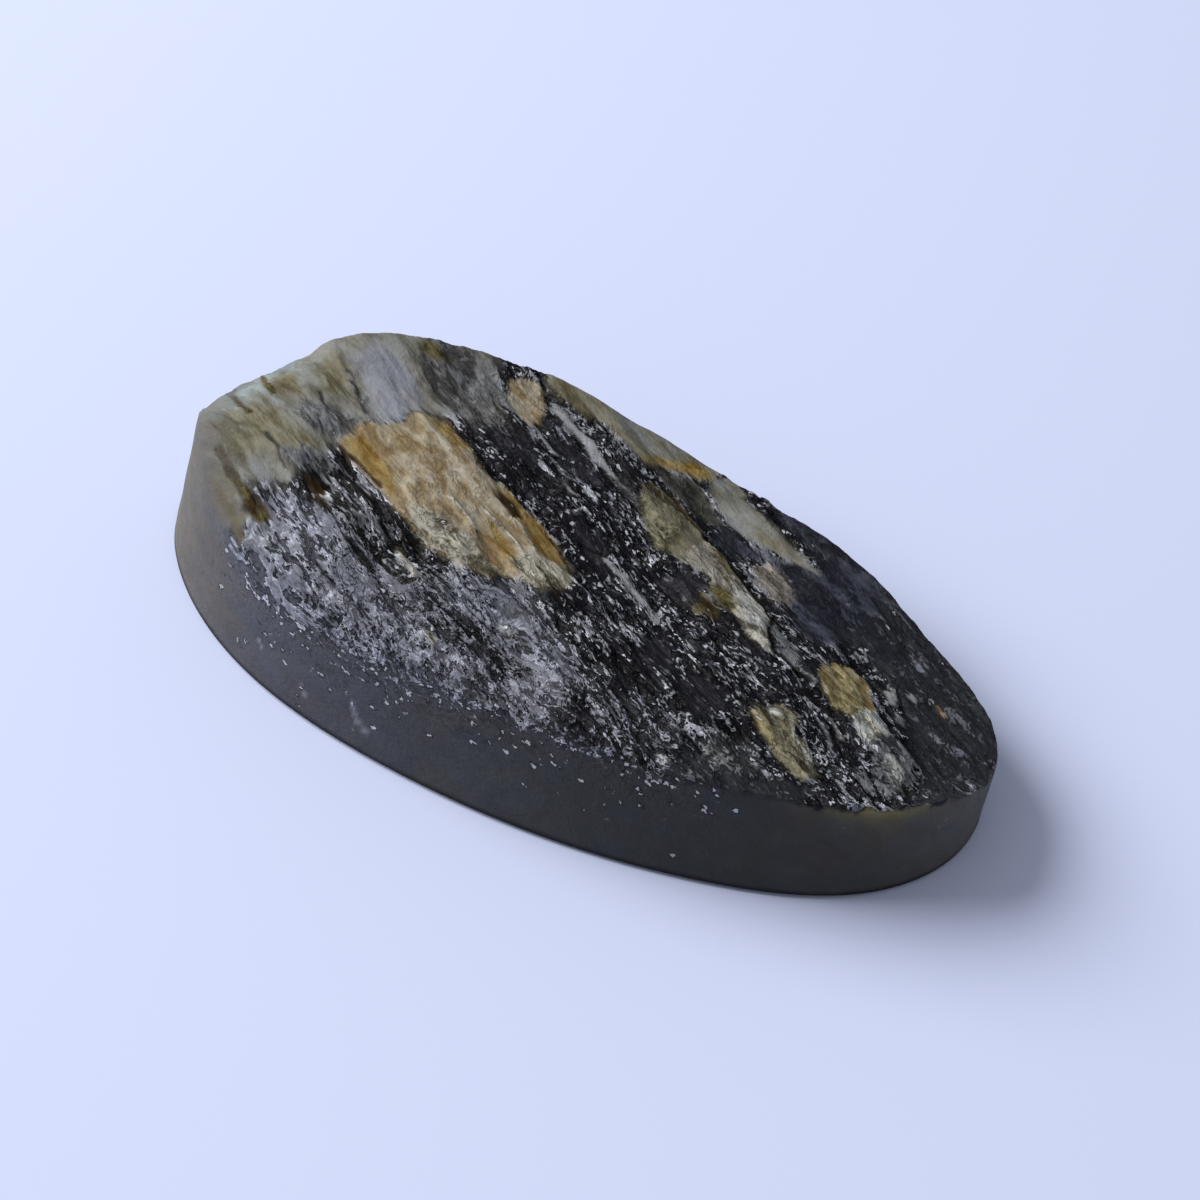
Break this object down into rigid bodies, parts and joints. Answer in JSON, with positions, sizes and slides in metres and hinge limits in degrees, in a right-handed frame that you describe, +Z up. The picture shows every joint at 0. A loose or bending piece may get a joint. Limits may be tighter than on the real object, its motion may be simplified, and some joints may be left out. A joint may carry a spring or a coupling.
{
  "type": "rough mineral slab",
  "caption": "Small oval slab of dark grey labradorite with a sawn flat base, a smooth ground wall and a split, grainy top that slopes from the thick end to the thin one.",
  "frame": {"origin": "on the plane that the stone rests on, under the middle of its box", "axes": "+X towards the thin end, +Y towards the back, +Z up"},
  "size_m": [0.0386, 0.0186, 0.0085],
  "materials": {
    "labradorite": "Smooth matt ground wall; rough split top in dark grey with ochre, olive and pale grey patches drawn out along the grain."
  },
  "bodies": {
    "root": {"slab": "labradorite"}
  },
  "joints": []
}
